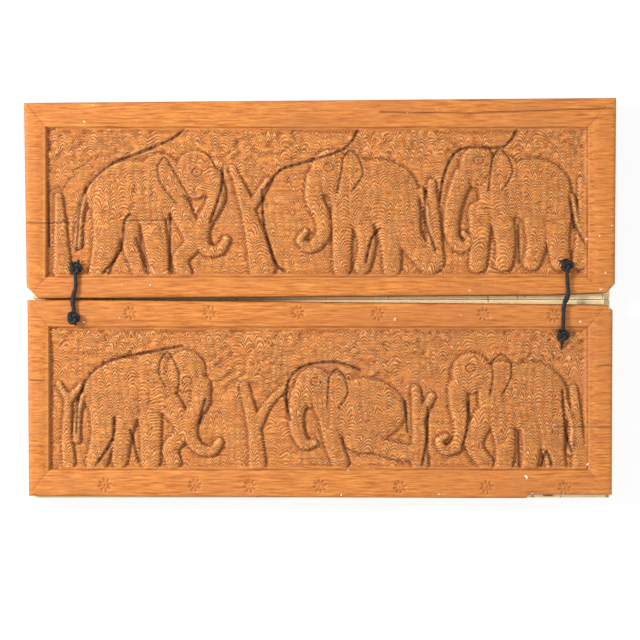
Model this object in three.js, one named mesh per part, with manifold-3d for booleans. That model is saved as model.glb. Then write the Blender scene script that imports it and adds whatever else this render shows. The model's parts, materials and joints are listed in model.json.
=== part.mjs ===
// Folding manuscript lying open face down: two carved teak covers side by side, a concertina
// paper strip under them and two knotted cords across the gutter. Millimetres, +Z up.
// X runs along the gutter, +Y towards the upper cover, the floor is z = 0.
import * as THREE from 'three';
import { mergeVertices } from 'three/addons/utils/BufferGeometryUtils.js';
import Module from 'manifold-3d';

const wasm = await Module();
wasm.setup();

// Driving dimensions
const leafCount = 8;
const leafThickness = 0.6;
const leafGap = 0.3;
const leafHalfLength = 188;
const spineGap = 0.3;
const lowerLeafLeftDepth = 125.8;
const lowerLeafRightDepth = 128.2;
const upperLeafDepth = 126;
const boardThickness = 13;
const recessDepth = 4.2;
const bevelRun = 7;
const bevelDrop = 1.4;
const wallRun = 3;
const reliefHeight = 3.4;
const foliageHeight = 1.5;
const cordDiameter = 3;
const holeClearance = 0.4;
const stopperDiameter = 7;
const stopperHeight = 4;
const cordClearance = 0.3;
const knotRadius = 2.2;
const knotTube = 0.98;
const cordDip = 0.3;
const crestMargin = 0.7;
// Sunk panels as left, near, right and far edges
const lowerPanel = [14 - leafHalfLength, 16.2 - lowerLeafLeftDepth, leafHalfLength - 16, -17.8];
const upperPanel = [12 - leafHalfLength, 14.3, leafHalfLength - 16, upperLeafDepth - 15.5];
// The straight view that the carving is laid out in: points to the millimetre, its middle and the gutter
const faceScale = 1.558;
const faceMiddle = 320;
const gutterRow = 300;
const gutterShift = 0.5;

const leafPitch = leafThickness + leafGap;
const boardBase = leafCount * leafPitch;
const boardTop = boardBase + boardThickness;
const recessFloor = boardTop - recessDepth;
const holeDiameter = cordDiameter + holeClearance;
const knotReach = knotRadius * 1.5 + knotTube;
const knotHalfHeight = knotRadius / 2 + knotTube;

const teak = new THREE.MeshStandardMaterial({ color: '#a8652f', roughness: 0.6, metalness: 0 });
const paper = new THREE.MeshStandardMaterial({ color: '#efdcae', roughness: 0.9, metalness: 0 });
const waxedCord = new THREE.MeshStandardMaterial({ color: '#1d1a18', roughness: 0.7, metalness: 0 });

const book = new THREE.Group();
book.name = 'folding_manuscript';

function addPiece(name, geometry, material) {
  const mesh = new THREE.Mesh(geometry, material);
  mesh.name = name;
  book.add(mesh);
}

// Solids to and from the boolean library
function toSolid(geometry) {
  const bare = geometry.clone();
  bare.deleteAttribute('normal');
  bare.deleteAttribute('uv');
  const merged = mergeVertices(bare, 1e-4);
  return new wasm.Manifold(new wasm.Mesh({
    numProp: 3,
    vertProperties: new Float32Array(merged.attributes.position.array),
    triVerts: new Uint32Array(merged.index.array),
  }));
}

function toGeometry(solid) {
  const mesh = solid.getMesh();
  const geometry = new THREE.BufferGeometry();
  geometry.setAttribute('position', new THREE.BufferAttribute(mesh.vertProperties, 3));
  geometry.setIndex(new THREE.BufferAttribute(mesh.triVerts, 1));
  geometry.computeVertexNormals();
  return geometry;
}

// A closed body lofted through rings that all have the same number of points, facing outwards
function loft(rings) {
  const count = rings[0].length;
  const points = rings.flat();
  const faces = [];
  for (let r = 0; r + 1 < rings.length; r += 1) {
    for (let i = 0; i < count; i += 1) {
      const a = r * count + i;
      const b = r * count + ((i + 1) % count);
      faces.push(a, b, a + count, b, b + count, a + count);
    }
  }
  const last = (rings.length - 1) * count;
  for (let i = 1; i + 1 < count; i += 1) {
    faces.push(0, i + 1, i, last, last + i, last + i + 1);
  }
  let volume = 0;
  for (let i = 0; i < faces.length; i += 3) {
    const [a, b, c] = faces.slice(i, i + 3).map((k) => points[k]);
    volume += a.dot(b.clone().cross(c));
  }
  const geometry = new THREE.BufferGeometry();
  const values = points.flatMap((p) => [p.x, p.y, p.z]);
  geometry.setAttribute('position', new THREE.Float32BufferAttribute(values, 3));
  geometry.setIndex(volume > 0 ? faces : faces.reverse());
  return geometry;
}

function ringAt(outline, z) {
  return outline.map(([x, y]) => new THREE.Vector3(x, y, z));
}

function plate(outline, bottom, top) {
  return loft([ringAt(outline, bottom), ringAt(outline, top)]);
}

function cylinder(x, y, diameter, bottom, top) {
  const sides = 12;
  const outline = [];
  for (let i = 0; i < sides; i += 1) {
    const angle = (i * 2 * Math.PI) / sides;
    outline.push([x + (Math.cos(angle) * diameter) / 2, y + (Math.sin(angle) * diameter) / 2]);
  }
  return plate(outline, bottom, top);
}

// A smooth low mound: half widths a and b, height above the panel, turned about Z
function mound(x, y, a, b, height, turn = 0) {
  const geometry = new THREE.SphereGeometry(1, 12, 6);
  geometry.rotateX(Math.PI / 2);
  geometry.scale(a, b, height);
  geometry.rotateZ(THREE.MathUtils.degToRad(turn));
  geometry.translate(x, y, recessFloor);
  return toSolid(geometry);
}

// A rounded limb along a path of [x, y, half width], as high as given at its middle
function limb(path, height, steps = 6) {
  const sides = 8;
  const curve = new THREE.CatmullRomCurve3(path.map(([x, y, w]) => new THREE.Vector3(x, y, w)));
  const rings = [];
  for (let s = 0; s <= steps; s += 1) {
    const at = curve.getPoint(s / steps);
    const run = curve.getTangent(s / steps).setZ(0).normalize();
    const end = s === 0 || s === steps ? 0.55 : 1;
    const ring = [];
    for (let i = 0; i < sides; i += 1) {
      const angle = (i * 2 * Math.PI) / sides;
      const across = Math.cos(angle) * at.z * end;
      ring.push(new THREE.Vector3(
        at.x - run.y * across,
        at.y + run.x * across,
        recessFloor + Math.sin(angle) * height * end,
      ));
    }
    rings.push(ring.reverse());
  }
  return toSolid(loft(rings));
}

// The carved figures, by their places in a straight view from above: a mass is its centre, half width,
// half height and turn, a limb is points with half widths. faceScale turns both into millimetres.
const lowerElephants = [
  {
    masses: [[122, 390, 41, 33, 6], [152, 384, 25, 33, 0], [186, 371, 20, 21, 0]],
    limbs: [
      [[200, 384, 10], [200, 402, 9], [191, 418, 8], [190, 436, 7],
        [199, 449, 6], [212, 451, 5], [219, 442, 4]],
      [[149, 404, 13], [150, 434, 11], [150, 461, 10]],
      [[170, 405, 12], [183, 430, 8], [170, 448, 8], [173, 462, 8]],
      [[106, 402, 19], [103, 434, 13], [96, 462, 11]],
      [[126, 412, 12], [122, 438, 9], [119, 461, 8]],
      [[82, 396, 3], [77, 416, 3], [76, 440, 4]],
    ],
  },
  {
    masses: [[364, 410, 43, 33, -3], [334, 400, 22, 28, 0], [314, 388, 20, 21, 0], [364, 441, 20, 13, 0]],
    limbs: [
      [[300, 396, 10], [296, 412, 8], [297, 430, 7], [304, 444, 6], [314, 443, 4]],
      [[376, 446, 8], [400, 452, 9], [418, 454, 7]],
      [[330, 420, 11], [332, 440, 9], [340, 462, 9]],
    ],
  },
  {
    masses: [[532, 397, 37, 36, -5], [502, 396, 24, 36, 0], [472, 373, 20, 21, 0]],
    limbs: [
      [[458, 388, 10], [458, 406, 9], [462, 425, 8], [459, 443, 7],
        [447, 451, 5], [439, 442, 4], [446, 436, 3]],
      [[484, 418, 11], [474, 444, 9], [486, 463, 8]],
      [[502, 424, 12], [506, 448, 10], [503, 470, 9]],
      [[550, 414, 18], [553, 445, 12], [557, 470, 10]],
      [[532, 428, 11], [532, 450, 9], [529, 470, 8]],
      [[566, 402, 3], [573, 428, 3], [571, 452, 4]],
    ],
  },
];
const lowerTrees = [
  [[68, 462, 7], [66, 430, 5], [68, 396, 4]],
  [[68, 400, 4], [58, 384, 3]],
  [[68, 400, 4], [80, 386, 3]],
  [[257, 464, 9], [254, 430, 7], [244, 386, 5]],
  [[257, 424, 6], [268, 404, 4], [284, 388, 4]],
  [[420, 464, 9], [419, 430, 7], [416, 390, 5]],
  [[420, 420, 5], [432, 396, 4]],
  [[580, 470, 8], [578, 430, 6], [574, 388, 4]],
];
const lowerFoliage = [
  [52, 330, 160, 352],
  [205, 330, 300, 382],
  [348, 330, 450, 372],
  [515, 330, 588, 360],
  [235, 385, 285, 405],
];
const upperElephants = [
  {
    masses: [[128, 192, 44, 33, 6], [160, 186, 26, 34, 0], [195, 174, 21, 25, 0]],
    limbs: [
      [[212, 178, 11], [216, 198, 9], [207, 216, 8], [200, 234, 8],
        [206, 249, 7], [219, 250, 5], [226, 239, 4]],
      [[150, 205, 14], [155, 240, 12], [160, 272, 11]],
      [[178, 207, 12], [193, 240, 9], [180, 258, 8], [184, 273, 8]],
      [[110, 200, 20], [106, 238, 14], [98, 272, 10]],
      [[128, 214, 12], [131, 246, 9], [140, 272, 8]],
      [[84, 196, 3], [79, 220, 3], [77, 245, 4]],
    ],
  },
  {
    masses: [[380, 192, 41, 34, -8], [352, 188, 24, 36, 0], [331, 172, 21, 24, 0]],
    limbs: [
      [[316, 178, 10], [314, 198, 9], [322, 216, 8], [323, 234, 7],
        [311, 247, 6], [300, 240, 4], [306, 231, 3]],
      [[343, 212, 12], [342, 242, 10], [342, 268, 9]],
      [[360, 214, 11], [367, 243, 9], [362, 267, 8]],
      [[402, 208, 19], [410, 238, 13], [430, 264, 11]],
      [[386, 218, 12], [391, 246, 10], [392, 268, 9]],
      [[422, 190, 3], [428, 214, 3], [432, 240, 4]],
    ],
  },
  {
    masses: [[536, 190, 37, 33, -6], [502, 188, 24, 36, 0], [478, 166, 18, 22, 0]],
    limbs: [
      [[464, 176, 10], [456, 196, 9], [452, 216, 8], [452, 234, 7],
        [461, 247, 6], [470, 241, 4], [464, 233, 3]],
      [[480, 212, 12], [480, 240, 10], [478, 264, 9]],
      [[502, 216, 12], [506, 244, 10], [504, 263, 9]],
      [[556, 206, 18], [558, 238, 12], [561, 261, 10]],
      [[536, 220, 12], [537, 244, 10], [532, 262, 9]],
      [[572, 196, 3], [578, 222, 3], [585, 250, 4]],
    ],
  },
];
const upperTrees = [
  [[62, 272, 10], [60, 235, 7], [58, 196, 4]],
  [[262, 268, 14], [252, 225, 9], [238, 182, 5]],
  [[250, 205, 5], [232, 168, 4]],
  [[252, 205, 5], [268, 180, 4]],
  [[436, 262, 9], [434, 225, 7], [432, 182, 4]],
  [[580, 262, 8], [584, 225, 6], [582, 180, 4]],
];
const upperFoliage = [
  [48, 130, 150, 156],
  [190, 130, 300, 156],
  [352, 130, 450, 156],
  [510, 130, 588, 156],
  [216, 160, 250, 180],
];

// A place and a size in the straight view, in millimetres on the covers
function onFace(u, v) {
  return [(u - faceMiddle) / faceScale, (gutterRow - v) / faceScale - gutterShift];
}

function carvedLimb(path, height) {
  const steps = path.length > 4 ? 9 : 2 * (path.length - 1);
  return limb(path.map(([u, v, w]) => [...onFace(u, v), w / faceScale]), height, steps);
}

// Everything that stands up from one sunk panel
function carving(elephants, trees, foliage) {
  const pieces = [];
  for (const [left, high, right, low] of foliage) {
    const [x, y] = onFace((left + right) / 2, (high + low) / 2);
    pieces.push(mound(x, y, (right - left) / 2 / faceScale, (low - high) / 2 / faceScale, foliageHeight));
  }
  for (const path of trees) {
    pieces.push(carvedLimb(path, 0.62 * reliefHeight));
  }
  for (const { masses, limbs } of elephants) {
    for (const [u, v, a, b, turn] of masses) {
      pieces.push(mound(...onFace(u, v), a / faceScale, b / faceScale, reliefHeight, turn));
    }
    limbs.forEach((path, order) => pieces.push(carvedLimb(path, (order ? 0.8 : 0.95) * reliefHeight)));
  }
  return pieces;
}

// A cover board with its sunk panel, bevelled border, relief, cord holes and stopper pockets
function board({ outline, panel, relief, holes }) {
  let solid = toSolid(plate(outline, boardBase, boardTop));
  const inner = rectangle(panel);
  const rim = rectangle(grow(panel, bevelRun));
  const sunk = loft([
    ringAt(rectangle(grow(panel, -wallRun)), recessFloor),
    ringAt(inner, boardTop - bevelDrop),
    ringAt(rim, boardTop + 0.01),
  ]);
  solid = solid.subtract(toSolid(sunk));
  const mask = toSolid(plate(rectangle(grow(panel, 1)), recessFloor - 1, boardTop - 0.1));
  for (const piece of relief) {
    solid = solid.add(piece.intersect(mask));
  }
  for (const { x, y, seat } of holes) {
    const flat = cylinder(x, y, 2 * (knotReach + cordClearance), seat, boardTop + 1);
    solid = solid.subtract(toSolid(flat));
    solid = solid.subtract(toSolid(cylinder(x, y, holeDiameter, boardBase - 1, boardTop + 1)));
    const pocketTop = boardBase + stopperHeight + cordClearance;
    const pocket = cylinder(x, y, stopperDiameter + 2 * cordClearance, boardBase - 1, pocketTop);
    solid = solid.subtract(toSolid(pocket));
  }
  return toGeometry(solid);
}

function rectangle([left, bottom, right, top]) {
  return [[left, bottom], [right, bottom], [right, top], [left, top]];
}

function grow([left, bottom, right, top], by) {
  return [left - by, bottom - by, right + by, top + by];
}

// Where each knot stands, and the face under it: the sunk panel or the border
const knots = {
  upper_left_knot: { x: -157, y: 20, seat: recessFloor },
  upper_right_knot: { x: 158.5, y: 22, seat: recessFloor },
  lower_left_knot: { x: -158, y: -12, seat: boardTop },
  lower_right_knot: { x: 156, y: -23.2, seat: recessFloor },
};

// The covers are cut by hand, so each corner stands a little in or out from the paper block
addPiece('lower_board', board({
  outline: [
    [leafHalfLength - 4, -3.6],
    [leafHalfLength, -7],
    [leafHalfLength - 0.5, 2.4 - lowerLeafRightDepth],
    [leafHalfLength - 54, 2.6 - lowerLeafRightDepth],
    [leafHalfLength - 55, 0.3 - lowerLeafRightDepth],
    [leafHalfLength - 88, 0.3 - lowerLeafRightDepth],
    [1 - leafHalfLength, -0.6 - lowerLeafLeftDepth],
    [-leafHalfLength, -0.4],
  ],
  panel: lowerPanel,
  relief: carving(lowerElephants, lowerTrees, lowerFoliage),
  holes: [knots.lower_left_knot, knots.lower_right_knot],
}), teak);

addPiece('upper_board', board({
  outline: [
    [-2.5 - leafHalfLength, upperLeafDepth + 0.2],
    [0.5 - leafHalfLength, 9],
    [8 - leafHalfLength, 0.4],
    [leafHalfLength - 38, 2.6],
    [leafHalfLength - 4, 4],
    [leafHalfLength + 1.5, 10],
    [leafHalfLength + 2.5, upperLeafDepth + 3.5],
  ],
  panel: upperPanel,
  relief: carving(upperElephants, upperTrees, upperFoliage),
  holes: [knots.upper_left_knot, knots.upper_right_knot],
}), teak);

// The paper strip, one panel to a node. Leaf 1 is pasted under its cover, the last lies on the floor.
for (let i = 1; i <= leafCount; i += 1) {
  const top = boardBase - leafGap - (i - 1) * leafPitch;
  const lowerOutline = [[-leafHalfLength, -spineGap], [-leafHalfLength, -lowerLeafLeftDepth],
    [leafHalfLength, -lowerLeafRightDepth], [leafHalfLength, -spineGap]];
  const upperOutline = [[-leafHalfLength, spineGap], [leafHalfLength, spineGap],
    [leafHalfLength, upperLeafDepth], [-leafHalfLength, upperLeafDepth]];
  addPiece(`lower_leaf_${i}`, plate(lowerOutline, top - leafThickness, top), paper);
  addPiece(`upper_leaf_${i}`, plate(upperOutline, top - leafThickness, top), paper);
}

// A knot: an overhand knot on the carved face, its stem through the hole and the stopper inside
for (const [name, { x, y, seat }] of Object.entries(knots)) {
  const middle = seat + cordClearance + knotHalfHeight;
  const outer = new THREE.TorusKnotGeometry(knotRadius, knotTube, 36, 6, 2, 3);
  outer.translate(x, y, middle);
  const stem = cylinder(x, y, cordDiameter, boardBase + 1, middle);
  const stopper = cylinder(x, y, stopperDiameter, boardBase + 0.2, boardBase + stopperHeight);
  addPiece(name, toGeometry(toSolid(outer).add(toSolid(stem)).add(toSolid(stopper))), waxedCord);
}

// A cord from knot to knot: out of the side of one knot, over both borders and the gutter
function cord(from, to) {
  const clear = knotReach + cordClearance;
  const over = boardTop + cordDiameter / 2 + cordClearance;
  const rim = boardTop - bevelDrop + cordDiameter / 2 + 2 * cordClearance;
  const leave = ({ seat }) => Math.max(rim, Math.min(over, seat + knotHalfHeight + cordDiameter / 2));
  const farCrest = upperPanel[1] - bevelRun + crestMargin;
  const nearCrest = Math.max(to.y + clear + cordDiameter, lowerPanel[3] + bevelRun - crestMargin);
  const path = new THREE.CatmullRomCurve3([
    new THREE.Vector3(from.x, from.y - clear, leave(from)),
    new THREE.Vector3(from.x, farCrest, over),
    new THREE.Vector3((from.x + to.x) / 2, 0, over - cordDip),
    new THREE.Vector3(to.x, nearCrest, over),
    new THREE.Vector3(to.x, to.y + clear, leave(to)),
  ]);
  const section = new THREE.Shape();
  section.absarc(0, 0, cordDiameter / 2, 0, 2 * Math.PI);
  return new THREE.ExtrudeGeometry(section, { extrudePath: path, steps: 12, curveSegments: 8 });
}
addPiece('left_cord', cord(knots.upper_left_knot, knots.lower_left_knot), waxedCord);
addPiece('right_cord', cord(knots.upper_right_knot, knots.lower_right_knot), waxedCord);

export default book;
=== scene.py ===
import json
import math
import random

import bpy
import numpy as np
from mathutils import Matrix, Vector


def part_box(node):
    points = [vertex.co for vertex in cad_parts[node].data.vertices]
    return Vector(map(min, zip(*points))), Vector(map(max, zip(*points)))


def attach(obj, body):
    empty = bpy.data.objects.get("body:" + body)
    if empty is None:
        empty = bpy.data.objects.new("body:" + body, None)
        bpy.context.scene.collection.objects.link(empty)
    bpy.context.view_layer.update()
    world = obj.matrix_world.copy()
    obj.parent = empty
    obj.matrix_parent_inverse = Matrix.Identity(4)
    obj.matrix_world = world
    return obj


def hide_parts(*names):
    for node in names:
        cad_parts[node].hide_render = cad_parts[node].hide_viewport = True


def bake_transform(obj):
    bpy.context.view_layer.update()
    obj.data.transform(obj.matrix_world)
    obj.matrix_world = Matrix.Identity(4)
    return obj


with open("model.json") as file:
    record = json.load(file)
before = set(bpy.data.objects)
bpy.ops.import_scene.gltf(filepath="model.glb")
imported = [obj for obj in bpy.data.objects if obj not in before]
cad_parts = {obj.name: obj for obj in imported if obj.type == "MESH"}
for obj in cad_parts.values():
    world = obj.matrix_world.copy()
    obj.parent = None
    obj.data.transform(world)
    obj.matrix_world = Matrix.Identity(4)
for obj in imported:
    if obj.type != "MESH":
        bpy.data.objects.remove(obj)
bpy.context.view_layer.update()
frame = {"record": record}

scene = bpy.context.scene
MM = 0.001

# The view: straight down on the carved faces, with the gutter level across the middle. Soft light
# comes in low from the far left, so that the low relief throws its shade towards the near right.
PICTURE = 640
PX_PER_MM = 1.558
GUTTER_PX = 300
GUTTER_SHIFT = 0.5
LENS = 120
SENSOR = 36
AMBIENT = 0.6
board_low, board_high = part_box("lower_board")
BASE = board_low[2] / MM
TOP = board_high[2] / MM


def from_photo(px, py):
    """A place in the square photograph, in millimetres on the boards' faces."""
    return (px - PICTURE / 2) / PX_PER_MM, (GUTTER_PX - py) / PX_PER_MM - GUTTER_SHIFT


_, middle_y = from_photo(PICTURE / 2, PICTURE / 2)
camera_height = TOP + PICTURE / PX_PER_MM * LENS / SENSOR
camera = bpy.data.objects.new("camera", bpy.data.cameras.new("camera"))
camera.data.lens = LENS
camera.data.sensor_width = SENSOR
camera.location = (0, middle_y * MM, camera_height * MM)
scene.collection.objects.link(camera)
scene.camera = camera


def lamp(name, place, size, power):
    """A square soft box aimed at the middle of the book."""
    light = bpy.data.objects.new(name, bpy.data.lights.new(name, "AREA"))
    light.data.size = size
    light.data.energy = power
    light.location = place
    light.rotation_euler = (-Vector(place)).to_track_quat("-Z", "Y").to_euler()
    scene.collection.objects.link(light)


lamp("key_light", place=(-1.0, 0.35, 0.85), size=0.3, power=18)
lamp("fill_light", place=(0.7, -0.5, 1.3), size=1.2, power=5)

world = bpy.data.worlds.new("studio")
world.use_nodes = True
background = world.node_tree.nodes["Background"]
background.inputs["Color"].default_value = (1, 1, 1, 1)
background.inputs["Strength"].default_value = AMBIENT
scene.world = world
scene.view_settings.view_transform = "Standard"


# Each material is a node tree. Two small classes keep its wiring short.
class Socket:
    """One output of a shader node, with arithmetic that adds Math nodes."""

    def __init__(self, tree, out):
        self.tree = tree
        self.out = out

    def _math(self, operation, *terms):
        return self.tree.node("ShaderNodeMath", {"operation": operation}, dict(enumerate(terms)))

    def __add__(self, other):
        return self._math("ADD", self, other)

    __radd__ = __add__

    def __mul__(self, other):
        return self._math("MULTIPLY", self, other)

    __rmul__ = __mul__

    def __sub__(self, other):
        return self._math("SUBTRACT", self, other)

    def __rsub__(self, other):
        return self._math("SUBTRACT", other, self)

    def fraction(self):
        return self._math("FRACT", self)

    def sine(self):
        return self._math("SINE", self)

    def span(self, low, high):
        """0 below low, 1 above high and smooth between them."""
        inputs = {"Value": self, "From Min": low, "From Max": high}
        return self.tree.node("ShaderNodeMapRange", {"interpolation_type": "SMOOTHSTEP"}, inputs)


class Finish:
    """A node material, its Principled shader and the calls that add nodes to it."""

    def __init__(self, name, roughness=0.6):
        self.material = bpy.data.materials.new(name)
        self.material.use_nodes = True
        self.nodes = self.material.node_tree.nodes
        self.links = self.material.node_tree.links
        self.shader = self.nodes["Principled BSDF"]
        self.shader.inputs["Roughness"].default_value = roughness

    def put(self, target, value):
        if isinstance(value, Socket):
            self.links.new(value.out, target)
        else:
            target.default_value = value

    def node(self, kind, settings=None, inputs=None, output=0):
        new = self.nodes.new(kind)
        for key, value in (settings or {}).items():
            if key == "ramp":
                ramp = new.color_ramp
                while len(ramp.elements) < len(value):
                    ramp.elements.new(0.5)
                for element, (stop, colour) in zip(ramp.elements, value):
                    element.position = stop
                    element.color = (*colour, 1)
            else:
                setattr(new, key, value)
        for key, value in (inputs or {}).items():
            self.put(new.inputs[key], value)
        return Socket(self, new.outputs[output])

    def mix(self, factor, first, second):
        """Two colours, each a socket or three numbers, mixed by factor."""
        ends = [c if isinstance(c, Socket) else (*c, 1) for c in (first, second)]
        inputs = {0: factor, 6: ends[0], 7: ends[1]}
        return self.node("ShaderNodeMix", {"data_type": "RGBA"}, inputs, 2)

    def place(self, stretch=(1, 1, 1)):
        """Object coordinates, stretched along each axis."""
        at = self.node("ShaderNodeTexCoord", output=3)
        return self.node("ShaderNodeMapping", {}, {"Vector": at, "Scale": stretch})

    def noise(self, at, scale, detail=4, rough=0.55):
        inputs = {"Vector": at, "Scale": scale, "Detail": detail, "Roughness": rough}
        return self.node("ShaderNodeTexNoise", {}, inputs)

    def attribute(self, name):
        return self.node("ShaderNodeAttribute", {"attribute_name": name}, output=2)

    def bump(self, height, distance, strength=1.0):
        inputs = {"Height": height, "Distance": distance, "Strength": strength}
        self.put(self.shader.inputs["Normal"], self.node("ShaderNodeBump", {}, inputs))

    def colour(self, value):
        self.put(self.shader.inputs["Base Color"], value)

    def roughness(self, value):
        self.put(self.shader.inputs["Roughness"], value)


# The floor is a plain pale table, wide enough for every view of the book. The camera sees it as
# white, with a trace of the book's shadow.
FLOOR_HALF = 6.0
FLOOR_DROP = 0.0005
FLOOR_GREY = 0.9
FLOOR_GLOW = 1.06
GLOW_SHARE = 0.8


def floor_finish():
    """White where the camera looks at it, with a faint shadow, and pale grey as a bounce."""
    finish = Finish("floor_white")
    finish.shader.inputs["Base Color"].default_value = (FLOOR_GREY, FLOOR_GREY, FLOOR_GREY, 1)
    path = finish.node("ShaderNodeLightPath")
    seen = finish.node("ShaderNodeEmission", {}, {"Color": (1, 1, 1, 1), "Strength": FLOOR_GLOW})
    inputs = {0: path * GLOW_SHARE, 1: Socket(finish, finish.shader.outputs[0]), 2: seen}
    mixed = finish.node("ShaderNodeMixShader", {}, inputs)
    finish.put(finish.nodes["Material Output"].inputs["Surface"], mixed)
    return finish.material


floor_mesh = bpy.data.meshes.new("floor")
corners = [(-1, -1), (1, -1), (1, 1), (-1, 1)]
floor_points = [(x * FLOOR_HALF, y * FLOOR_HALF, -FLOOR_DROP) for x, y in corners]
floor_mesh.from_pydata(floor_points, [], [(0, 1, 2, 3)])
floor_mesh.materials.append(floor_finish())
floor = bpy.data.objects.new("floor", floor_mesh)
scene.collection.objects.link(floor)


# The cords: short black waxed cords, about 3 mm thick, drawn from cover to cover over the gutter.
# Each end goes down through its own hole, held by a knot on the carved face and a stopper inside.
CORD = 3.0
CORD_GAP = 0.3
CORD_LIFT = TOP + CORD / 2 + CORD_GAP
KNOT_REACH = 4.85
KNOT_OVERLAP = 1.4
KNOT_MIDDLE = 3.4
SPINE_EDGE = 3.6
PANEL_DEPTH = 4.0
SUNK = TOP - PANEL_DEPTH
RIM = TOP + 0.6
KNOTS = {
    "upper_left_knot": (-157, 20, SUNK),
    "upper_right_knot": (158.5, 22, SUNK),
    "lower_left_knot": (-158, -12, TOP),
    "lower_right_knot": (156, -23.2, SUNK),
}
SWAY = {"left": -0.9, "right": 0.7}
LACE_RADII = [1.25, 1.2, 1.3, 1.7, 1.3, 1.2, 1.3]
LACE_STRANDS = 2
LACE_BLACK = (0.005, 0.005, 0.006)
LACE_BLOOM = (0.045, 0.043, 0.042)


def add_object(name, points, faces, finish, smooth=True):
    """A mesh object from points in millimetres."""
    mesh = bpy.data.meshes.new(name)
    mesh.from_pydata([tuple(np.asarray(p, float) * MM) for p in points], [], faces)
    mesh.materials.append(finish)
    mesh.polygons.foreach_set("use_smooth", [smooth] * len(mesh.polygons))
    mesh.update()
    obj = bpy.data.objects.new(name, mesh)
    scene.collection.objects.link(obj)
    return obj


def smooth_path(points, steps):
    """A Catmull-Rom curve through the points."""
    pts = np.array([points[0], *points, points[-1]], float)
    out = []
    for i in range(1, len(pts) - 2):
        for t in np.linspace(0, 1, steps, endpoint=False):
            p0, p1, p2, p3 = pts[i - 1 : i + 3]
            a = 2 * p1
            b = p2 - p0
            c = 2 * p0 - 5 * p1 + 4 * p2 - p3
            d = -p0 + 3 * p1 - 3 * p2 + p3
            out.append((a + b * t + c * t * t + d * t**3) / 2)
    out.append(pts[-2])
    return np.array(out)


def tube(name, points, radii, finish, sides=14, steps=8, ripple=0.0):
    """A closed round tube along a smooth path, with laid strands where ripple is over 0."""
    path = smooth_path(points, steps)
    along = np.linspace(0, 1, len(path))
    radius = np.interp(along, np.linspace(0, 1, len(radii)), radii)
    tangents = np.gradient(path, axis=0)
    tangents /= np.linalg.norm(tangents, axis=1)[:, None]
    normal = np.cross(tangents[0], (0.3, 0.2, 0.93))
    verts = []
    for k, (centre, tangent) in enumerate(zip(path, tangents)):
        normal -= tangent * (normal @ tangent)
        normal /= np.linalg.norm(normal)
        side = np.cross(tangent, normal)
        for s in range(sides):
            angle = 2 * math.pi * s / sides
            swell = 1 + ripple * math.cos(LACE_STRANDS * angle + k * 0.9)
            verts.append(centre + (normal * math.cos(angle) + side * math.sin(angle)) * radius[k] * swell)
    faces = []
    for k in range(len(path) - 1):
        for s in range(sides):
            a = k * sides + s
            b = k * sides + (s + 1) % sides
            faces.append((a, b, b + sides, a + sides))
    faces.append(tuple(range(sides))[::-1])
    faces.append(tuple(range(len(verts) - sides, len(verts))))
    return add_object(name, verts, faces, finish)


def lace_finish():
    """Black wax on the cords: nearly black, with a dull grey bloom and a fine grain."""
    finish = Finish("waxed_lace")
    at = finish.place()
    bloom = finish.noise(at, 900, 5)
    finish.colour(finish.mix(bloom.span(0.5, 0.78), LACE_BLACK, LACE_BLOOM))
    finish.roughness(bloom * 0.35 + 0.4)
    finish.bump(finish.noise(at, 2600, 3), 0.0004)
    return finish.material


lace = lace_finish()
for hand, sway in SWAY.items():
    top_x, top_y, top_seat = KNOTS[f"upper_{hand}_knot"]
    low_x, low_y, low_seat = KNOTS[f"lower_{hand}_knot"]
    top_level, low_level = (max(RIM, min(CORD_LIFT, seat + KNOT_MIDDLE)) for seat in (top_seat, low_seat))
    start = (top_x, top_y - KNOT_REACH + KNOT_OVERLAP, top_level)
    stop = (low_x, low_y + KNOT_REACH - KNOT_OVERLAP, low_level)
    route = [
        start,
        (top_x + 0.3, 8.0, CORD_LIFT),
        (top_x + sway, SPINE_EDGE, CORD_LIFT),
        ((top_x + low_x) / 2 + sway, 0, CORD_LIFT - 0.5),
        (low_x + sway * 0.6, -SPINE_EDGE, CORD_LIFT),
        (low_x, max(stop[1] + 3, -11.5), CORD_LIFT),
        stop,
    ]
    piece = tube(f"{hand}_lace", route, LACE_RADII, lace, ripple=0.07)
    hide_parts(f"{hand}_cord")
    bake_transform(piece)


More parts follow.
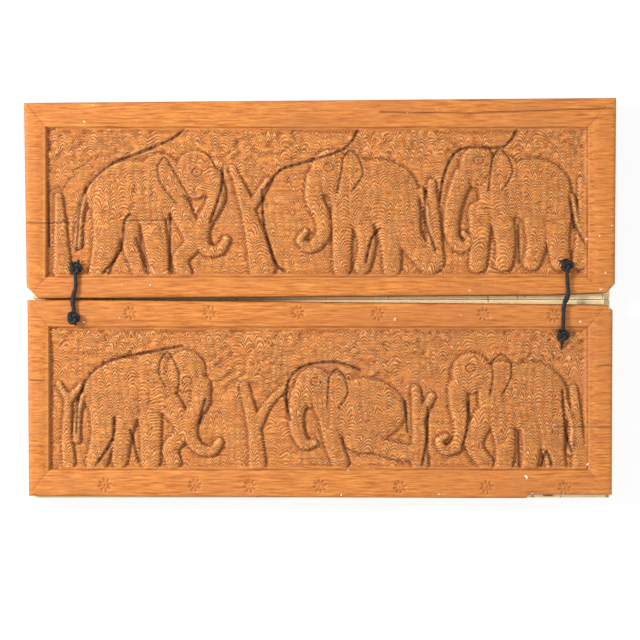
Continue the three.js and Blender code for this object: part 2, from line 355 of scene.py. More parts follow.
# The knots: each is one overhand knot drawn tight on the carved face, with a short tail, a stem down
# through the drilled hole, and a flat stopper knot sunk in its pocket on the inner side.
BEAD_RING = 2.1
BEAD_SWING = 1.05
BEAD_MIDDLE = 2.7
BEAD_DIP = 1.1
BEAD_RADIUS = 1.35
STEM_RADIUS = 1.45
STOPPER_RING = 2.1
STOPPER_RISE = 0.35
TAILS = {
    "upper_left_knot": [(1.5, 3.5, 3.0), (2.2, 5.4, 2.0)],
    "upper_right_knot": [(-2.5, 2.0, 3.0), (-5.6, 3.0, 2.0)],
    "lower_left_knot": [(1.0, -3.0, 3.0), (1.4, -4.8, 2.0)],
    "lower_right_knot": [(-0.5, -4.0, 3.0), (-1.0, -9.0, 1.6)],
}
for name, (kx, ky, seat) in KNOTS.items():
    loops = []
    for turn in np.linspace(0, 4 * math.pi, 33):
        ring = BEAD_RING + BEAD_SWING * math.cos(1.5 * turn)
        level = seat + BEAD_MIDDLE + BEAD_DIP * math.sin(1.5 * turn)
        loops.append((kx + ring * math.cos(turn), ky + ring * math.sin(turn), level))
    bead = tube(f"{name}_bead", loops, [BEAD_RADIUS] * 3, lace, sides=12, steps=3, ripple=0.05)
    tail = [(kx, ky, seat + 3.2)] + [(kx + dx, ky + dy, seat + dz) for dx, dy, dz in TAILS[name]]
    end = tube(f"{name}_tail", tail, [1.3, 1.1, 0.45], lace, sides=10)
    drop = [(kx, ky, seat + 2.6), (kx, ky, seat - 4), (kx, ky, BASE + 2)]
    stem = tube(f"{name}_stem", drop, [STEM_RADIUS, STEM_RADIUS], lace)
    coil = []
    for turn in np.linspace(0, 3.6 * math.pi, 22):
        level = BASE + 1.5 + STOPPER_RISE * turn / math.pi
        coil.append((kx + STOPPER_RING * math.cos(turn), ky + STOPPER_RING * math.sin(turn), level))
    stopper = tube(f"{name}_stopper", coil, [1.2, 1.25, 1.2], lace, sides=10, steps=3)
    for piece in (bead, end, stem, stopper):
        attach(piece, "upper_cover" if name.startswith("upper") else "lower_cover")
        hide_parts(name)


# The covers: two teak planks, each with a sunk panel carved in low relief with elephants and trees,
# a bevelled border worn smooth at the edges, punched flowers, gouge marks, old cracks and paint specks.
GRID = 0.65
BOARD_LENGTH = 376
BOARD_DEPTH = 126
BEVEL = 7.0
BEVEL_DROP = 1.4
WALL = 3.6
LEFT_WALL = 1.2
DOME = 3.5
UNDERCUT = 1.0
LEAF_PATCH = 42
SKIN_COLUMN = 5
GROUND_MARKS = 1500
GOUGE = 0.5
GOUGE_ROW = 1.7
HOLLOW_GAIN = 0.55
HOLLOW_LEVEL = 0.45
SEEDS = {"upper": 11, "lower": 23}

# Places in the photograph. A mass is (x, y, half width, half height, turn), a limb is (x, y, half width).
ELEPHANTS = {
    "upper_left": {
        "mass": [(128, 192, 44, 33, 6), (160, 186, 26, 34, 0), (195, 174, 21, 25, 0)],
        "limb": [
            [
                (212, 178, 11), (216, 198, 9), (207, 216, 8), (200, 234, 8),
                (206, 249, 7), (219, 250, 5), (226, 239, 4),
            ],
            [(150, 205, 14), (155, 240, 12), (160, 272, 11)],
            [(178, 207, 12), (193, 240, 9), (180, 258, 8), (184, 273, 8)],
            [(110, 200, 20), (106, 238, 14), (98, 272, 10)],
            [(128, 214, 12), (131, 246, 9), (140, 272, 8)],
            [(84, 196, 3), (79, 220, 3), (77, 245, 4)],
        ],
        "ear": [(164, 166, 7), (170, 182, 10), (184, 203, 8)],
        "eye": (197, 172),
    },
    "upper_middle": {
        "mass": [(380, 192, 41, 34, -8), (352, 188, 24, 36, 0), (331, 172, 21, 24, 0)],
        "limb": [
            [
                (316, 178, 10), (314, 198, 9), (322, 216, 8), (323, 234, 7),
                (311, 247, 6), (300, 240, 4), (306, 231, 3),
            ],
            [(343, 212, 12), (342, 242, 10), (342, 268, 9)],
            [(360, 214, 11), (367, 243, 9), (362, 267, 8)],
            [(402, 208, 19), (410, 238, 13), (430, 264, 11)],
            [(386, 218, 12), (391, 246, 10), (392, 268, 9)],
            [(422, 190, 3), (428, 214, 3), (432, 240, 4)],
        ],
        "ear": [(351, 158, 8), (352, 174, 11), (344, 192, 7)],
        "eye": (329, 167),
    },
    "upper_right": {
        "mass": [(536, 190, 37, 33, -6), (502, 188, 24, 36, 0), (478, 166, 18, 22, 0)],
        "limb": [
            [
                (464, 176, 10), (456, 196, 9), (452, 216, 8), (452, 234, 7),
                (461, 247, 6), (470, 241, 4), (464, 233, 3),
            ],
            [(480, 212, 12), (480, 240, 10), (478, 264, 9)],
            [(502, 216, 12), (506, 244, 10), (504, 263, 9)],
            [(556, 206, 18), (558, 238, 12), (561, 261, 10)],
            [(536, 220, 12), (537, 244, 10), (532, 262, 9)],
            [(572, 196, 3), (578, 222, 3), (585, 250, 4)],
        ],
        "ear": [(501, 157, 8), (502, 172, 11), (496, 190, 7)],
        "eye": (479, 160),
    },
    "lower_left": {
        "mass": [(122, 390, 41, 33, 6), (152, 384, 25, 33, 0), (186, 371, 20, 21, 0)],
        "limb": [
            [
                (200, 384, 10), (200, 402, 9), (191, 418, 8), (190, 436, 7),
                (199, 449, 6), (212, 451, 5), (219, 442, 4),
            ],
            [(149, 404, 13), (150, 434, 11), (150, 461, 10)],
            [(170, 405, 12), (183, 430, 8), (170, 448, 8), (173, 462, 8)],
            [(106, 402, 19), (103, 434, 13), (96, 462, 11)],
            [(126, 412, 12), (122, 438, 9), (119, 461, 8)],
            [(82, 396, 3), (77, 416, 3), (76, 440, 4)],
        ],
        "ear": [(167, 361, 7), (169, 374, 10), (172, 388, 6)],
        "eye": (187, 381),
    },
    "lower_middle": {
        "mass": [
            (364, 410, 43, 33, -3),
            (334, 400, 22, 28, 0),
            (314, 388, 20, 21, 0),
            (364, 441, 20, 13, 0),
        ],
        "limb": [
            [(300, 396, 10), (296, 412, 8), (297, 430, 7), (304, 444, 6), (314, 443, 4)],
            [(376, 446, 8), (400, 452, 9), (418, 454, 7)],
            [(330, 420, 11), (332, 440, 9), (340, 462, 9)],
        ],
        "ear": [(337, 378, 8), (338, 393, 10), (333, 408, 6)],
        "eye": (316, 382),
    },
    "lower_right": {
        "mass": [(532, 397, 37, 36, -5), (502, 396, 24, 36, 0), (472, 373, 20, 21, 0)],
        "limb": [
            [
                (458, 388, 10), (458, 406, 9), (462, 425, 8), (459, 443, 7),
                (447, 451, 5), (439, 442, 4), (446, 436, 3),
            ],
            [(484, 418, 11), (474, 444, 9), (486, 463, 8)],
            [(502, 424, 12), (506, 448, 10), (503, 470, 9)],
            [(550, 414, 18), (553, 445, 12), (557, 470, 10)],
            [(532, 428, 11), (532, 450, 9), (529, 470, 8)],
            [(566, 402, 3), (573, 428, 3), (571, 452, 4)],
        ],
        "ear": [(502, 363, 10), (502, 378, 9), (496, 396, 6)],
        "eye": (471, 368),
    },
}
TREES = {
    "lower": [
        [(68, 462, 7), (66, 430, 5), (68, 396, 4)],
        [(68, 400, 4), (58, 384, 3)],
        [(68, 400, 4), (80, 386, 3)],
        [(257, 464, 9), (254, 430, 7), (244, 386, 5)],
        [(257, 424, 6), (268, 404, 4), (284, 388, 4)],
        [(420, 464, 9), (419, 430, 7), (416, 390, 5)],
        [(420, 420, 5), (432, 396, 4)],
        [(580, 470, 8), (578, 430, 6), (574, 388, 4)],
    ],
    "upper": [
        [(62, 272, 10), (60, 235, 7), (58, 196, 4)],
        [(262, 268, 14), (252, 225, 9), (238, 182, 5)],
        [(250, 205, 5), (232, 168, 4)],
        [(252, 205, 5), (268, 180, 4)],
        [(436, 262, 9), (434, 225, 7), (432, 182, 4)],
        [(580, 262, 8), (584, 225, 6), (582, 180, 4)],
    ],
}
# Bands of leaves, each from one photograph corner to the other
FOLIAGE = {
    "lower": [
        (52, 330, 160, 352),
        (205, 330, 300, 382),
        (348, 330, 450, 372),
        (515, 330, 588, 360),
        (235, 385, 285, 405),
    ],
    "upper": [
        (48, 130, 150, 156),
        (190, 130, 300, 156),
        (352, 130, 450, 156),
        (510, 130, 588, 156),
        (216, 160, 250, 180),
    ],
}
# Deep cuts beside the figures, with painted shade along them
CUTS = {
    "upper": [
        [(76, 250), (80, 205), (90, 182), (112, 163), (140, 152), (172, 138), (186, 126)],
        [(222, 168), (221, 190), (210, 222)],
        [(98, 279), (120, 250), (124, 222), (130, 214)],
        [(136, 238), (146, 272)],
        [(170, 214), (169, 272)],
        [(262, 190), (264, 225), (275, 262), (284, 270)],
        [(264, 190), (280, 170), (300, 163), (345, 148), (360, 124)],
        [(425, 190), (426, 222), (436, 250)],
        [(366, 262), (372, 238), (380, 228)],
        [(440, 200), (446, 170), (462, 148), (505, 146), (520, 122)],
        [(570, 196), (576, 226), (590, 250)],
        [(519, 226), (520, 262)],
        [(46, 182), (48, 246)],
    ],
    "lower": [
        [(76, 432), (78, 400), (90, 374), (112, 360), (150, 352), (182, 346)],
        [(95, 466), (112, 440), (114, 418)],
        [(130, 430), (138, 462)],
        [(205, 400), (198, 424)],
        [(290, 420), (286, 390), (300, 368), (335, 362), (360, 370)],
        [(405, 402), (408, 432)],
        [(428, 408), (427, 440), (422, 466)],
        [(469, 402), (467, 430), (462, 448)],
        [(519, 432), (520, 470)],
        [(540, 473), (547, 452), (553, 470)],
        [(563, 390), (566, 430), (572, 452)],
    ],
}
FLOWERS = {
    "lower": [(130, 313), (210, 313), (298, 312), (378, 314), (484, 314), (554, 316)]
    + [(105, 485), (195, 485), (250, 486), (320, 486), (400, 487), (487, 487), (565, 488)],
    "upper": [],
}
CRACKS = {
    "upper": [
        [(50, 190), (58, 186), (62, 190), (68, 178), (74, 176), (72, 170), (84, 164), (92, 157)],
        [(22, 223), (48, 223), (76, 222)],
        [(120, 220), (165, 220)],
        [(380, 112), (470, 113), (614, 108)],
    ],
    "lower": [[(556, 427), (612, 427)], [(598, 366), (612, 365)], [(30, 380), (44, 381)]],
}
# The covers' edges along the gutter and on the far side, and the sunk panels, in millimetres
OUTLINES = {
    "lower": {
        "spine": [(-188, -0.6), (-158, -0.4), (184, -3.6), (188, -7)],
        "far": [(-187, -126.3), (0, -127.3), (100, -127.8), (132.5, -127.8), (134, -125.6), (187.5, -125.7)],
        "panel": (-174, -109.6, 172, -17.8),
    },
    "upper": {
        "spine": [(-188.5, 8), (-180.5, 0.5), (150, 2.7), (184, 4.0), (189.5, 10)],
        "far": [(-190.3, 126.2), (190.3, 129.4)],
        "panel": (-176, 14.3, 172, 110.5),
    },
}


class Carving:
    """The face of one cover as heights in millimetres over a grid, cut with gouges and chisels."""

    def __init__(self, side):
        shape = OUTLINES[side]
        spine = np.array(sorted(shape["spine"]))
        far = np.array(sorted(shape["far"]))
        self.columns = int(BOARD_LENGTH / GRID)
        self.rows = int(BOARD_DEPTH / GRID)
        self.u = np.linspace(0, 1, self.columns)[:, None]
        self.v = np.linspace(0, 1, self.rows)[None, :]
        spine_x = spine[0, 0] + (spine[-1, 0] - spine[0, 0]) * self.u
        far_x = far[0, 0] + (far[-1, 0] - far[0, 0]) * self.u
        self.x = spine_x + (far_x - spine_x) * self.v
        spine_y = np.interp(self.x, spine[:, 0], spine[:, 1])
        far_y = np.interp(self.x, far[:, 0], far[:, 1])
        self.y = spine_y + (far_y - spine_y) * self.v
        self.height = np.zeros(self.x.shape)
        self.relief = np.zeros(self.x.shape)
        # How much shade is painted on each point: in the grooves, round the figures and along the panel's
        # inner edge
        self.painted_shade = np.zeros(self.x.shape)
        self.carved = np.zeros(self.x.shape)
        self.panel = shape["panel"]
        left, low, right, high = self.panel
        beside = np.maximum(left - self.x, self.x - right)
        self.away = np.maximum(beside, np.maximum(low - self.y, self.y - high))
        slope = np.where(self.x < left + 6, LEFT_WALL, WALL)
        ramp = np.clip(-self.away / slope, 0, 1)
        self.inside = ramp * ramp * (3 - 2 * ramp)

    def segment(self, a, b):
        """Distance from each grid point to the segment ab, and how far along it that is."""
        ax, ay = a[:2]
        bx, by = b[:2]
        length = max((bx - ax) ** 2 + (by - ay) ** 2, 1e-9)
        t = np.clip(((self.x - ax) * (bx - ax) + (self.y - ay) * (by - ay)) / length, 0, 1)
        return np.hypot(self.x - ax - t * (bx - ax), self.y - ay - t * (by - ay)), t

    def raise_to(self, dome):
        """Leave the wood standing at least as high as the dome."""
        self.relief = np.maximum(self.relief, dome)

    def mass(self, px, py, half_x, half_y, turn, high):
        """A low oval dome, placed and sized in the photograph."""
        x, y = from_photo(px, py)
        c, s = math.cos(math.radians(turn)), math.sin(math.radians(turn))
        dx, dy = self.x - x, self.y - y
        across = (dx * c + dy * s) * PX_PER_MM / half_x
        up = (dy * c - dx * s) * PX_PER_MM / half_y
        self.raise_to(high * np.sqrt(np.clip(1 - (across**2 + up**2) ** 1.3, 0, 1)))

    def limb(self, points, high):
        """A rounded limb along photograph points with half widths."""
        points = smooth_path(points, 4)
        for a, b in zip(points, points[1:]):
            start, stop = from_photo(*a[:2]), from_photo(*b[:2])
            distance, t = self.segment(start, stop)
            radius = (a[2] + (b[2] - a[2]) * t) / PX_PER_MM
            self.raise_to(high * np.sqrt(np.clip(1 - (distance / radius) ** 2.6, 0, 1)))

    def cut(self, points, width, depth, shade):
        """A V groove along a line of photograph points, with painted shade in it."""
        if len(points) > 2 and width > 0.6:
            points = smooth_path(points, 3)
        for a, b in zip(points, points[1:]):
            distance, _ = self.segment(from_photo(*a), from_photo(*b))
            groove = np.clip(1 - distance / width, 0, 1)
            self.height -= depth * groove * 0.5
            self.painted_shade = np.maximum(self.painted_shade, shade * groove)

    def window(self, x, y, reach):
        """The part of the grid within reach of a point."""
        column = int(np.clip(np.searchsorted(self.x[:, 0], x), 0, self.columns - 1))
        row_line = self.y[column]
        order = row_line if row_line[-1] > row_line[0] else row_line[::-1]
        row = int(np.searchsorted(order, y))
        if row_line[-1] < row_line[0]:
            row = self.rows - 1 - row
        half = int(reach / GRID) + 1
        return slice(max(column - half, 0), column + half), slice(max(row - half, 0), max(row + half, 0))

    def stroke(self, x, y, length, angle, bend, width, depth):
        """One short curved gouge mark."""
        cells = self.window(x, y, length * 0.75 + 1)
        dx, dy = self.x[cells] - x, self.y[cells] - y
        c, s = math.cos(angle), math.sin(angle)
        along = dx * c + dy * s
        across = dy * c - dx * s - bend * along**2 / length
        mark = np.exp(-((across / width) ** 2)) * np.clip(1.2 - (2 * along / length) ** 2, 0, 1)
        self.height[cells] -= depth * mark


def blur(field, passes):
    """Each height averaged with its neighbours, once for each pass."""
    for _ in range(passes):
        field = (field + np.roll(field, 1, 0) + np.roll(field, -1, 0)) / 3
        field = (field + np.roll(field, 1, 1) + np.roll(field, -1, 1)) / 3
    return field


def figures_on(side):
    """The elephants of one cover."""
    return [figure for name, figure in ELEPHANTS.items() if name.startswith(side)]


def raise_figures(work, side):
    """Elephants and trees left standing, with the nearer parts of a body higher."""
    for figure in figures_on(side):
        for order, mass in enumerate(figure["mass"]):
            work.mass(*mass, DOME * (0.86 + 0.06 * order))
        for order, points in enumerate(figure["limb"]):
            work.limb(points, DOME * (0.95 if order == 0 else 0.8))
    for trunk in TREES[side]:
        work.limb(trunk, DOME * 0.62)


def raise_leaves(work, side, rng):
    """Low leaves laid over the bands of foliage, one to each patch."""
    for x0, y0, x1, y1 in FOLIAGE[side]:
        for _ in range(int((x1 - x0) * (y1 - y0) / LEAF_PATCH)):
            place = rng.uniform(x0, x1), rng.uniform(y0, y1)
            size = rng.uniform(5, 9), rng.uniform(2.4, 4)
            work.mass(*place, *size, rng.uniform(-40, 40), DOME * rng.uniform(0.3, 0.52))


def sink_ground(work, figures):
    """The ground cut away round the figures, deepest along their outlines, with painted shade there."""
    edge = blur((figures > 0.5).astype(float), 5)
    groove = 4 * edge * (1 - edge)
    work.height = -PANEL_DEPTH + work.relief - UNDERCUT * groove * (figures < 1.2)
    # Painted shade in the undercut round each figure
    work.painted_shade = np.maximum(work.painted_shade, 0.5 * np.clip(groove - 0.6, 0, 1) * (figures < 1.0))


def cut_face(work, figure):
    """The outline of an elephant's ear, and its eye in a ring, all cut with painted shade."""
    rim_left = [(x - r, y) for x, y, r in figure["ear"]]
    rim_right = [(x + r, y) for x, y, r in figure["ear"]]
    ear_x, ear_y, _ = figure["ear"][0]
    crown = [rim_left[0], (ear_x, ear_y - 9), rim_right[0]]
    for line in (rim_left, rim_right, crown):
        work.cut(line, 1.1, 1.5, 0.7)
    eye_x, eye_y = figure["eye"]
    ring = [(eye_x + 5 * math.cos(a), eye_y + 4 * math.sin(a)) for a in np.linspace(0, 2 * math.pi, 9)]
    work.cut(ring, 0.8, 0.9, 0.45)
    work.cut([(eye_x - 1, eye_y), (eye_x + 1, eye_y)], 0.9, 0.8, 0.5)


def gouge_skin(work, mass, rng):
    """Columns of short curved gouge marks over one part of an elephant's body."""
    px, py, half_x, half_y, _ = mass
    middle_x, middle_y = from_photo(px, py)
    for column in range(int(half_x / SKIN_COLUMN)):
        from_middle = (column - half_x / (2 * SKIN_COLUMN)) * 2 * SKIN_COLUMN / PX_PER_MM
        x = middle_x + from_middle + rng.uniform(-1, 1)
        reach = half_y / PX_PER_MM * math.sqrt(max(0.05, 1 - ((x - middle_x) * PX_PER_MM / half_x) ** 2))
        y = middle_y - 0.85 * reach
        while y < middle_y + 0.85 * reach:
            tilt = 0.5 * (x - middle_x) / max(reach, 5) + rng.uniform(-0.2, 0.2)
            work.stroke(x, y, rng.uniform(4.5, 6.5), tilt, -1.1, GOUGE, rng.uniform(0.3, 0.6))
            y += rng.uniform(1.7, 2.3)


def gouge_panel(work, side, rng):
    """Small rows of gouge marks over the whole panel, then the deep cuts beside the figures, with painted
    shade in them.
    """
    left, low, right, high = work.panel
    for _ in range(GROUND_MARKS):
        x, y = rng.uniform(left, right), rng.uniform(low, high)
        tilt, bend, length = rng.gauss(0.1, 0.8), rng.uniform(-1.4, 1.4), rng.uniform(3, 5.5)
        side_x, side_y = -math.sin(tilt), math.cos(tilt)
        for k in range(rng.randint(1, 4)):
            at = x + side_x * GOUGE_ROW * k, y + side_y * GOUGE_ROW * k
            work.stroke(*at, length, tilt, bend, GOUGE, rng.uniform(0.3, 0.6))
    for line in CUTS[side]:
        work.cut(line, 1.5, 2.2, 0.95)


def frame_panel(work):
    """The bevelled border round the sunk panel, with a raised bead and a scored line at its inner edge, and
    painted shade along that edge.
    """
    border = np.clip(work.away / BEVEL, 0, 1)
    bead = 0.35 * np.exp(-(((work.away - 0.9) / 0.5) ** 2))
    score = 0.7 * np.exp(-(((work.away + 0.1) / 0.5) ** 2))
    frame_height = -BEVEL_DROP * (1 - border) ** 1.4 + (bead - score)
    face = np.where(work.away > 0, 0, work.height)
    work.height = work.inside * face + (1 - work.inside) * frame_height
    # Painted shade is kept only inside the panel, then laid along its inner edge
    work.painted_shade *= work.inside
    work.painted_shade = np.maximum(work.painted_shade, 0.4 * np.exp(-(((work.away + 0.3) / 0.5) ** 2)))
    work.carved = work.inside * np.clip(0.82 + work.relief / DOME, 0, 1)


def finish_border(work, side):
    """Punched flowers, cracks with painted shade in them, a mitre line at each corner and the worn outer
    edge.
    """
    for px, py in FLOWERS[side]:
        x, y = from_photo(px, py)
        for petal in range(8):
            a = petal * math.pi / 4 + 0.2
            work.stroke(x + 3.0 * math.cos(a), y + 3.0 * math.sin(a), 3.2, a, 0, 0.7, 0.9)
        work.stroke(x, y, 1.6, 0, 0, 0.9, 0.8)
    for line in CRACKS[side]:
        work.cut(line, 0.6, 1.3, 0.8)
    left, low, right, high = work.panel
    for corner_x, out_x in ((left, left - 11), (right, right + 12)):
        for corner_y, out_y in ((low, low - 14), (high, high + 14)):
            distance, _ = work.segment((corner_x, corner_y), (out_x, out_y))
            work.height -= 0.35 * np.clip(1 - distance / 0.7, 0, 1)
    from_ends = np.minimum(work.u, 1 - work.u) * BOARD_LENGTH
    from_sides = np.minimum(work.v, 1 - work.v) * BOARD_DEPTH
    work.height -= 1.5 * np.exp(-np.minimum(from_ends, from_sides) / 0.9)
    work.height = np.minimum(work.height, 0)


def carve(side):
    """The whole face of one cover, cut in the order that a carver would."""
    work = Carving(side)
    rng = random.Random(SEEDS[side])
    raise_figures(work, side)
    figures = work.relief.copy()
    raise_leaves(work, side, rng)
    work.relief = blur(work.relief, 1)
    sink_ground(work, figures)
    for figure in figures_on(side):
        cut_face(work, figure)
        for mass in figure["mass"]:
            gouge_skin(work, mass, rng)
    gouge_panel(work, side, rng)
    frame_panel(work)
    finish_border(work, side)
    return work


# Colours of the teak, from its heart to its wear and paint specks, with painted highlights and shade
RED_PATCH = (0.52, 0.17, 0.045)
PORE = (0.3, 0.09, 0.025)
RUBBED_RIDGE = (0.93, 0.5, 0.19)
HOLLOW_SHADE = (0.26, 0.07, 0.02)
GOUGE_PAINTED_HIGHLIGHT = (0.95, 0.56, 0.24)
GOUGE_PAINTED_SHADE = (0.33, 0.09, 0.02)
PAINTED_SHADE_COLOUR = (0.06, 0.016, 0.008)
WHITEWASH = (0.9, 0.84, 0.72)


def teak_finish():
    """Oiled teak: orange brown, streaked along the plank, pale on worn ridges, with painted shade in the
    hollows and cuts and painted highlights and shade on the gouge ribs.
    """
    finish = Finish("carved_teak")
    finish.shader.inputs["Specular IOR Level"].default_value = 0.3
    at = finish.place()
    streaks = finish.noise(finish.place((5, 60, 60)), 14, 8, 0.65)
    pores = finish.noise(finish.place((60, 900, 900)), 3, 4, 0.7)
    patches = finish.noise(finish.place((8, 22, 8)), 2, 3)
    depth = finish.attribute("cavity")
    painted_shade = finish.attribute("dirt")
    carved = finish.attribute("carved")
    spot = finish.node("ShaderNodeSeparateXYZ", {}, {0: finish.node("ShaderNodeTexCoord", output=3)})
    along = spot * 1000
    across = Socket(finish, spot.out.node.outputs["Y"]) * 1000
    drift = finish.noise(at, 34, 2) * 20
    swirl = finish.noise(finish.place((1.3, 0.8, 1)), 26, 1) * 26
    arch = ((along + swirl) * 0.19).fraction() - 0.5
    ribs = ((across + drift + arch * arch * 12) * 2.9).sine()
    broken = finish.noise(at, 330, 3).span(0.36, 0.56)
    ribs = ribs * broken * carved
    stops = [
        (0.3, (0.3, 0.07, 0.01)),
        (0.46, (0.58, 0.18, 0.03)),
        (0.6, (0.72, 0.27, 0.055)),
        (0.8, (0.86, 0.4, 0.11)),
    ]
    wood = finish.node("ShaderNodeValToRGB", {"ramp": stops}, {"Fac": streaks})
    wood = finish.mix(patches.span(0.4, 0.7) * 0.45, wood, RED_PATCH)
    wood = finish.mix(pores.span(0.55, 0.75) * 0.4, wood, PORE)
    wood = finish.mix(depth.span(0.5, 0.95) * 0.6, wood, RUBBED_RIDGE)
    # Painted shade in the hollows of the relief
    wood = finish.mix((1 - depth.span(0.1, 0.5)) * 0.75, wood, HOLLOW_SHADE)
    # Painted highlights on the crests of the gouge ribs, and painted shade in their troughs
    wood = finish.mix(ribs.span(0.15, 0.9) * 0.55, wood, GOUGE_PAINTED_HIGHLIGHT)
    wood = finish.mix((0 - ribs).span(0.2, 0.9) * 0.75, wood, GOUGE_PAINTED_SHADE)
    # Painted shade in the cuts, round the figures, along the panel's edge and on the board's sides
    wood = finish.mix(painted_shade * 0.9, wood, PAINTED_SHADE_COLOUR)
    specks = finish.noise(at, 260, 2, 0.4).span(0.735, 0.75)
    specks = specks * finish.noise(at, 18, 2).span(0.5, 0.6) * (1 - carved * 0.8)
    wood = finish.mix(specks, wood, WHITEWASH)
    finish.colour(wood)
    finish.roughness(0.62 - streaks * 0.2)
    finish.bump(streaks * 0.5 + pores * 0.3 + ribs * 0.55, 0.0007, 0.8)
    return finish.material


teak = teak_finish()


def build_cover(side):
    """The carved face as a grid, closed by its four edges and a flat back."""
    work = carve(side)
    columns, rows = work.columns, work.rows
    top = np.stack([work.x, work.y, TOP + work.height], axis=-1).reshape(-1, 3)
    index = np.arange(columns * rows).reshape(columns, rows)
    a, b = index[:-1, :-1].ravel(), index[1:, :-1].ravel()
    c, d = index[1:, 1:].ravel(), index[:-1, 1:].ravel()
    faces = np.stack([a, b, c, d], axis=1)
    if side == "lower":
        faces = faces[:, ::-1]
    ring = np.concatenate([index[:, 0], index[-1, 1:], index[-2::-1, -1], index[0, -2:0:-1]])
    skirt = []
    for drop in (0.5, 1.0):
        level = top[ring].copy()
        level[:, 2] = level[:, 2] * (1 - drop) + BASE * drop
        skirt.append(level)
    points = np.concatenate([top, *skirt])
    count = len(ring)
    loops = [ring, np.arange(count) + len(top), np.arange(count) + len(top) + count]
    polygons = [tuple(map(int, face)) for face in faces]
    for upper, under in zip(loops, loops[1:]):
        for k in range(count):
            n = (k + 1) % count
            quad = (int(upper[k]), int(under[k]), int(under[n]), int(upper[n]))
            polygons.append(quad if side == "upper" else quad[::-1])
    back = tuple(map(int, loops[-1]))
    polygons.append(back[::-1] if side == "upper" else back)
    cover = add_object(f"{side}_carved_cover", points, polygons, teak)
    # Lower than the wood round it gives painted shade in the hollows; higher gives pale rubbed wear on the
    # ridges
    hollow = (work.height - blur(work.height, 4)) * HOLLOW_GAIN + HOLLOW_LEVEL
    plain = np.full(2 * count, HOLLOW_LEVEL)
    layers = {
        "cavity": (hollow, plain),
        # The board's sides get a little painted shade too
        "dirt": (np.clip(work.painted_shade, 0, 1), plain * 0.4),
        "carved": (work.carved, plain * 0),
    }
    for name, (on_face, on_edges) in layers.items():
        values = np.concatenate([on_face.ravel(), on_edges])
        layer = cover.data.attributes.new(name, "FLOAT", "POINT")
        layer.data.foreach_set("value", values.astype(np.float32))
    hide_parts(f"{side}_board")
    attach(cover, f"{side}_cover")


for side in ("lower", "upper"):
    build_cover(side)


# The paper: one long strip of thick handmade paper folded like a screen, eight leaves to a cover.
# Its fore edges are deckled, and its turned-up edge shows in the gutter with short ink strokes.
LEAVES = 8
PITCH = 0.9
HALF_LENGTH = 187.6
LEFT_SHORT = 1.2
FORE_EDGE = ((-188, 125.4), (100, 127.2), (188, 128.0))
NOTCH_X = 147
NOTCH_HALF = 1.6
NOTCH_DEPTH = 3.2
TORN_LEAVES = 3
LIP_START = -60
LIP_END = 183
LIP_HEIGHT = 6.2
FIBRE_GOLD = (0.9, 0.7, 0.34)
FIBRE_CREAM = (0.99, 0.88, 0.58)
FOXING = (0.5, 0.27, 0.09)
INK = (0.09, 0.06, 0.04)


def paper_finish():
    """Cream mulberry paper: long fibres, foxing spots and stray strokes of ink."""
    finish = Finish("mulberry_paper", 0.9)
    at = finish.place()
    fibres = finish.noise(finish.place((40, 260, 260)), 6, 6, 0.7)
    foxing = finish.noise(at, 70, 5).span(0.58, 0.78)
    colour = finish.mix(fibres.span(0.3, 0.7), FIBRE_GOLD, FIBRE_CREAM)
    colour = finish.mix(foxing * 0.5, colour, FOXING)
    ink = finish.noise(finish.place((420, 90, 60)), 1, 2, 0.3).span(0.7, 0.72)
    colour = finish.mix(ink * 0.6, colour, INK)
    finish.colour(colour)
    finish.bump(fibres, 0.0004, 0.7)
    return finish.material


paper = paper_finish()


def build_leaf(side, number):
    """One panel of the strip: a thin closed sheet with soft waves and deckled edges."""
    low, high = (np.array(c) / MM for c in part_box(f"{side}_leaf_{number}"))
    sign = -1 if side == "lower" else 1
    rng = np.random.default_rng(100 * number + (7 if side == "upper" else 3))
    columns, rows = 95, 13
    xs = np.linspace(-HALF_LENGTH + LEFT_SHORT, HALF_LENGTH, columns)
    deckle = np.convolve(rng.normal(0, 0.5, columns + 8), np.ones(9) / 9, "valid")
    spine = sign * 0.35
    if side == "lower":
        fore = -np.interp(xs, *zip(*FORE_EDGE)) + deckle * 0.6
        notch = np.exp(-(((xs - NOTCH_X) / NOTCH_HALF) ** 8))
        fore = fore + notch * NOTCH_DEPTH * (number <= TORN_LEAVES)
        fore = np.maximum(fore, low[1] + 0.05)
    else:
        fore = np.full(columns, high[1] - 0.5) + np.minimum(deckle, 0.4)
    level = (low[2] + high[2]) / 2
    sheets = []
    for face in (-1, 1):
        for i, x in enumerate(xs):
            for t in np.linspace(0, 1, rows):
                y = spine + (fore[i] - spine) * t
                wave = 0.09 * math.sin(x / 23 + number) * math.sin(y / 17 + number * 2)
                sheets.append((x, y, level + face * 0.2 + wave))
    index = np.arange(2 * columns * rows).reshape(2, columns, rows)
    faces = []
    for layer in (0, 1):
        for i in range(columns - 1):
            for j in range(rows - 1):
                here, beyond = index[layer, i], index[layer, i + 1]
                quad = (here[j], beyond[j], beyond[j + 1], here[j + 1])
                faces.append(quad if layer == (1 if sign > 0 else 0) else quad[::-1])
    ring = [(i, 0) for i in range(columns)] + [(columns - 1, j) for j in range(1, rows)]
    ring += [(i, rows - 1) for i in range(columns - 2, -1, -1)] + [(0, j) for j in range(rows - 2, 0, -1)]
    for k, (i, j) in enumerate(ring):
        i2, j2 = ring[(k + 1) % len(ring)]
        quad = (index[1, i, j], index[0, i, j], index[0, i2, j2], index[1, i2, j2])
        faces.append(quad if sign > 0 else quad[::-1])
    leaf = add_object(f"{side}_paper_{number}", sheets, [tuple(map(int, f)) for f in faces], paper)
    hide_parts(f"{side}_leaf_{number}")
    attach(leaf, f"{side}_cover" if number == 1 else f"{side}_leaf_{number}_body")


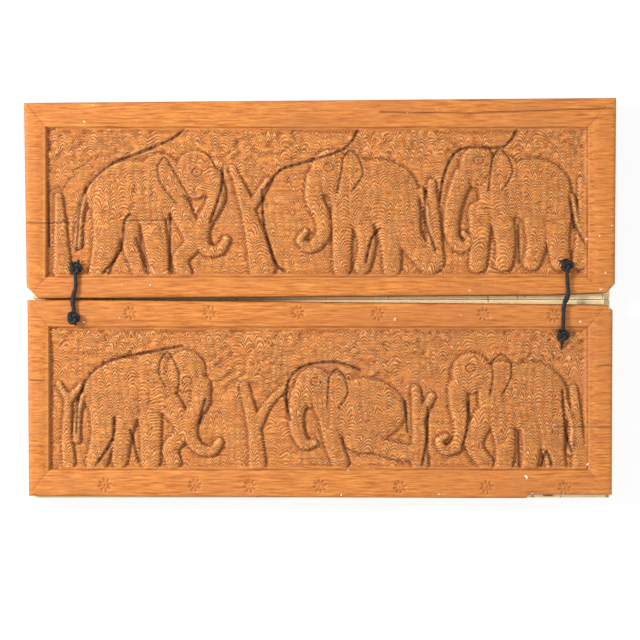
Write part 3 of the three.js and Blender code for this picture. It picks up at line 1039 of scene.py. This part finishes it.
def build_fold(side, number):
    """The round fold that joins leaf number to the next one, a narrow strip bent about its hinge."""
    below = f"{side}_leaf_{number + 1}_body"
    joint = next(j for j in frame["record"]["behaviour"]["joints"] if j["child"] == below)
    _, axis_y, axis_z = (value / MM for value in joint["pos_m"])
    sign = -1 if side == "lower" else 1
    outward = sign if number % 2 else -sign
    radius = PITCH / 2
    arc = np.linspace(-math.pi / 2, math.pi / 2, 7)
    profile = [(axis_y - outward * 0.9, axis_z + radius)]
    for a in arc:
        bulge = outward * 0.4 * math.cos(a)
        profile.append((axis_y - outward * 0.25 + bulge, axis_z - radius * math.sin(a)))
    profile += [(axis_y - outward * 0.9, axis_z - radius)]
    inner = [(y - outward * 0.12, axis_z + (z - axis_z) * 0.72) for y, z in profile[::-1]]
    loop = profile + inner
    xs = np.linspace(-HALF_LENGTH + LEFT_SHORT + 0.4, HALF_LENGTH - 0.4, 64)
    verts = [(x, y, z) for x in xs for y, z in loop]
    n = len(loop)
    faces = []
    for i in range(len(xs) - 1):
        for j in range(n):
            a, b = i * n + j, i * n + (j + 1) % n
            faces.append((a, b, b + n, a + n) if outward > 0 else (a + n, b + n, b, a))
    first, last = tuple(range(n)), tuple(range(len(verts) - n, len(verts)))
    faces += [first[::-1], last] if outward > 0 else [first, last[::-1]]
    strip = add_object(f"{side}_fold_strip_{number}", verts, faces, paper)
    start = (0, axis_y * MM, (axis_z + 0.2) * MM)
    end = (0, axis_y * MM, (axis_z - 0.2) * MM)
    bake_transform(strip)


def build_spine_lip(side):
    """The spare edge of the pasted leaf, turned up between the boards where the gutter gapes."""
    sign = -1 if side == "lower" else 1
    spine = np.array(sorted(OUTLINES[side]["spine"]))
    xs = np.linspace(LIP_START, LIP_END, 120)
    rng = np.random.default_rng(5)
    ragged = np.convolve(rng.normal(0, 0.5, len(xs) + 8), np.ones(9) / 9, "valid")
    verts = []
    for x, tear in zip(xs, ragged):
        wall = abs(np.interp(x, spine[:, 0], spine[:, 1])) - 0.25
        rise = min(1, (x - LIP_START) / 60)
        top = BASE + 0.4 + (LIP_HEIGHT + tear) * rise
        loop = [(wall, BASE + 0.1), (wall, top - 0.5), (0.22, top + 0.3 * rise), (0.22, BASE + 0.1)]
        verts += [(x, sign * y, z) for y, z in loop]
    faces = []
    for i in range(len(xs) - 1):
        for j in range(4):
            a, b = i * 4 + j, i * 4 + (j + 1) % 4
            faces.append((a, b, b + 4, a + 4) if sign > 0 else (a + 4, b + 4, b, a))
    first, last = (0, 1, 2, 3), tuple(range(len(verts) - 4, len(verts)))
    faces += [first[::-1], last] if sign > 0 else [first, last[::-1]]
    lip = add_object(f"{side}_spine_lip", verts, faces, paper, smooth=False)
    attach(lip, f"{side}_cover")


for side in ("lower", "upper"):
    build_spine_lip(side)
    for number in range(1, LEAVES + 1):
        build_leaf(side, number)
    for number in range(1, LEAVES):
        build_fold(side, number)
